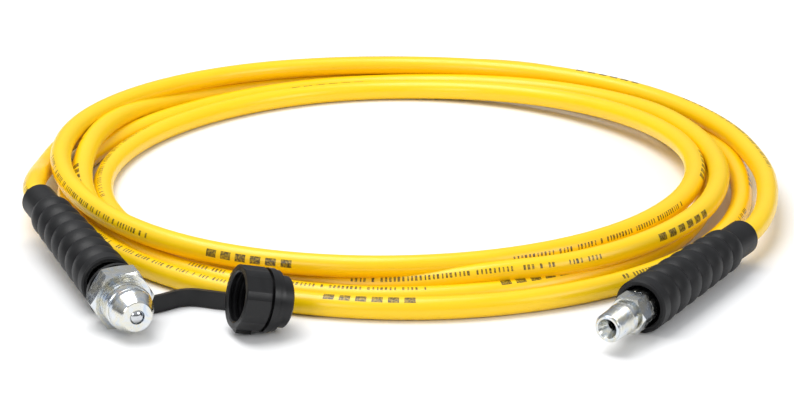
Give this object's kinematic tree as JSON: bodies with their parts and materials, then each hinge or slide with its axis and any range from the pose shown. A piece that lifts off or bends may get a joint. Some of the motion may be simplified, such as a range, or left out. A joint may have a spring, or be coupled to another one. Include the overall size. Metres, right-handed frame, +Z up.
{
  "type": "hydraulic hose assembly",
  "caption": "Coiled yellow high-pressure hydraulic hose with ribbed rubber boots, a quick coupler half with a strapped dust cap, and a tapered male thread at the far end.",
  "frame": {"origin": "on the floor, under the middle of the box that holds the end fittings, boots, strap and cap", "axes": "+Z up from the floor; +X from the coupler end towards the threaded end; +Y towards the middle of the coil"},
  "size_m": [0.4624, 0.5072, 0.0391],
  "materials": {
    "hose_jacket": "satin",
    "boot_rubber": "satin",
    "zinc_steel": "bright zinc plate",
    "ball_steel": "polished",
    "spring_steel": "drawn",
    "seal_rubber": "matt",
    "backup_plastic": "matt",
    "core_nylon": "matt",
    "braid_wire": "drawn",
    "strap_plastic": "satin",
    "cap_plastic": "satin"
  },
  "bodies": {
    "hose": {"hose_coil": "hose_jacket", "hose_tail_coupler": "hose_jacket", "hose_tail_fitting": "hose_jacket", "boot_coupler": "boot_rubber", "boot_fitting": "boot_rubber", "ferrule_coupler": "zinc_steel", "ferrule_fitting": "zinc_steel", "stem_coupler": "zinc_steel", "stem_fitting": "zinc_steel", "core_tube_coupler": "core_nylon", "core_tube_fitting": "core_nylon", "braid_coupler": "braid_wire", "braid_fitting": "braid_wire", "coupler_body": "zinc_steel", "coupler_nose": "zinc_steel", "valve_spring": "spring_steel", "spring_guide": "spring_steel", "snap_ring": "spring_steel", "nose_o_ring": "seal_rubber", "backup_ring": "backup_plastic"},
    "ball": {"valve_ball": "ball_steel"},
    "strap": {"cap_strap": "strap_plastic"},
    "cap": {"dust_cap": "cap_plastic"}
  },
  "joints": [
    {"name": "valve_push", "type": "slide", "parent": "hose", "child": "ball", "axis": [-0.4062, 0.9123, 0.0523], "range_m": [0, 0.0025], "stiffness_N_per_m": 400, "springref_m": -0.004, "deforming": ["valve_spring"]},
    {"name": "strap_swing", "type": "hinge", "parent": "hose", "child": "strap", "pos_m": [-0.14912, -0.03903, 0.01683], "axis": [0.4062, -0.9123, -0.0523], "range_deg": [0, 160]},
    {"name": "cap_turn", "type": "hinge", "parent": "strap", "child": "cap", "pos_m": [-0.06167, -0.05416, 0.01727], "axis": [0.9118, 0.3319, -0.2419], "continuous": true}
  ]
}
